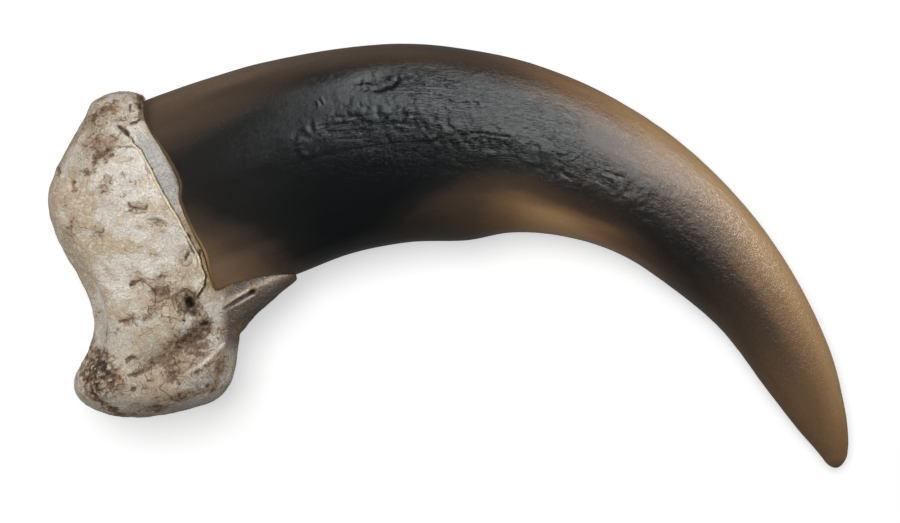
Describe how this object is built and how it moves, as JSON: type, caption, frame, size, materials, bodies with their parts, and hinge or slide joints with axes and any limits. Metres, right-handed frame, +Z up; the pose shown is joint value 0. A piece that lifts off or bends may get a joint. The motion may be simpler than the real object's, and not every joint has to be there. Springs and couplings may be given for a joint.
{
  "type": "bear claw on its toe bone",
  "caption": "Curved, tapering bear claw of dark and tan horn, seated on the knobbly pale toe bone that carries it, lying on its side.",
  "frame": {"origin": "centre of the whole part's bounding box in X and Y, at the surface that the claw lies on", "axes": "+X runs from the toe bone towards the claw's tip, +Y towards the back of the claw, and +Z up from the surface that it lies on"},
  "size_m": [0.0881, 0.0466, 0.0171],
  "materials": {
    "horn": "satin",
    "bone": "satin"
  },
  "bodies": {
    "root": {"horn_sheath": "horn", "toe_bone": "bone"}
  },
  "joints": []
}
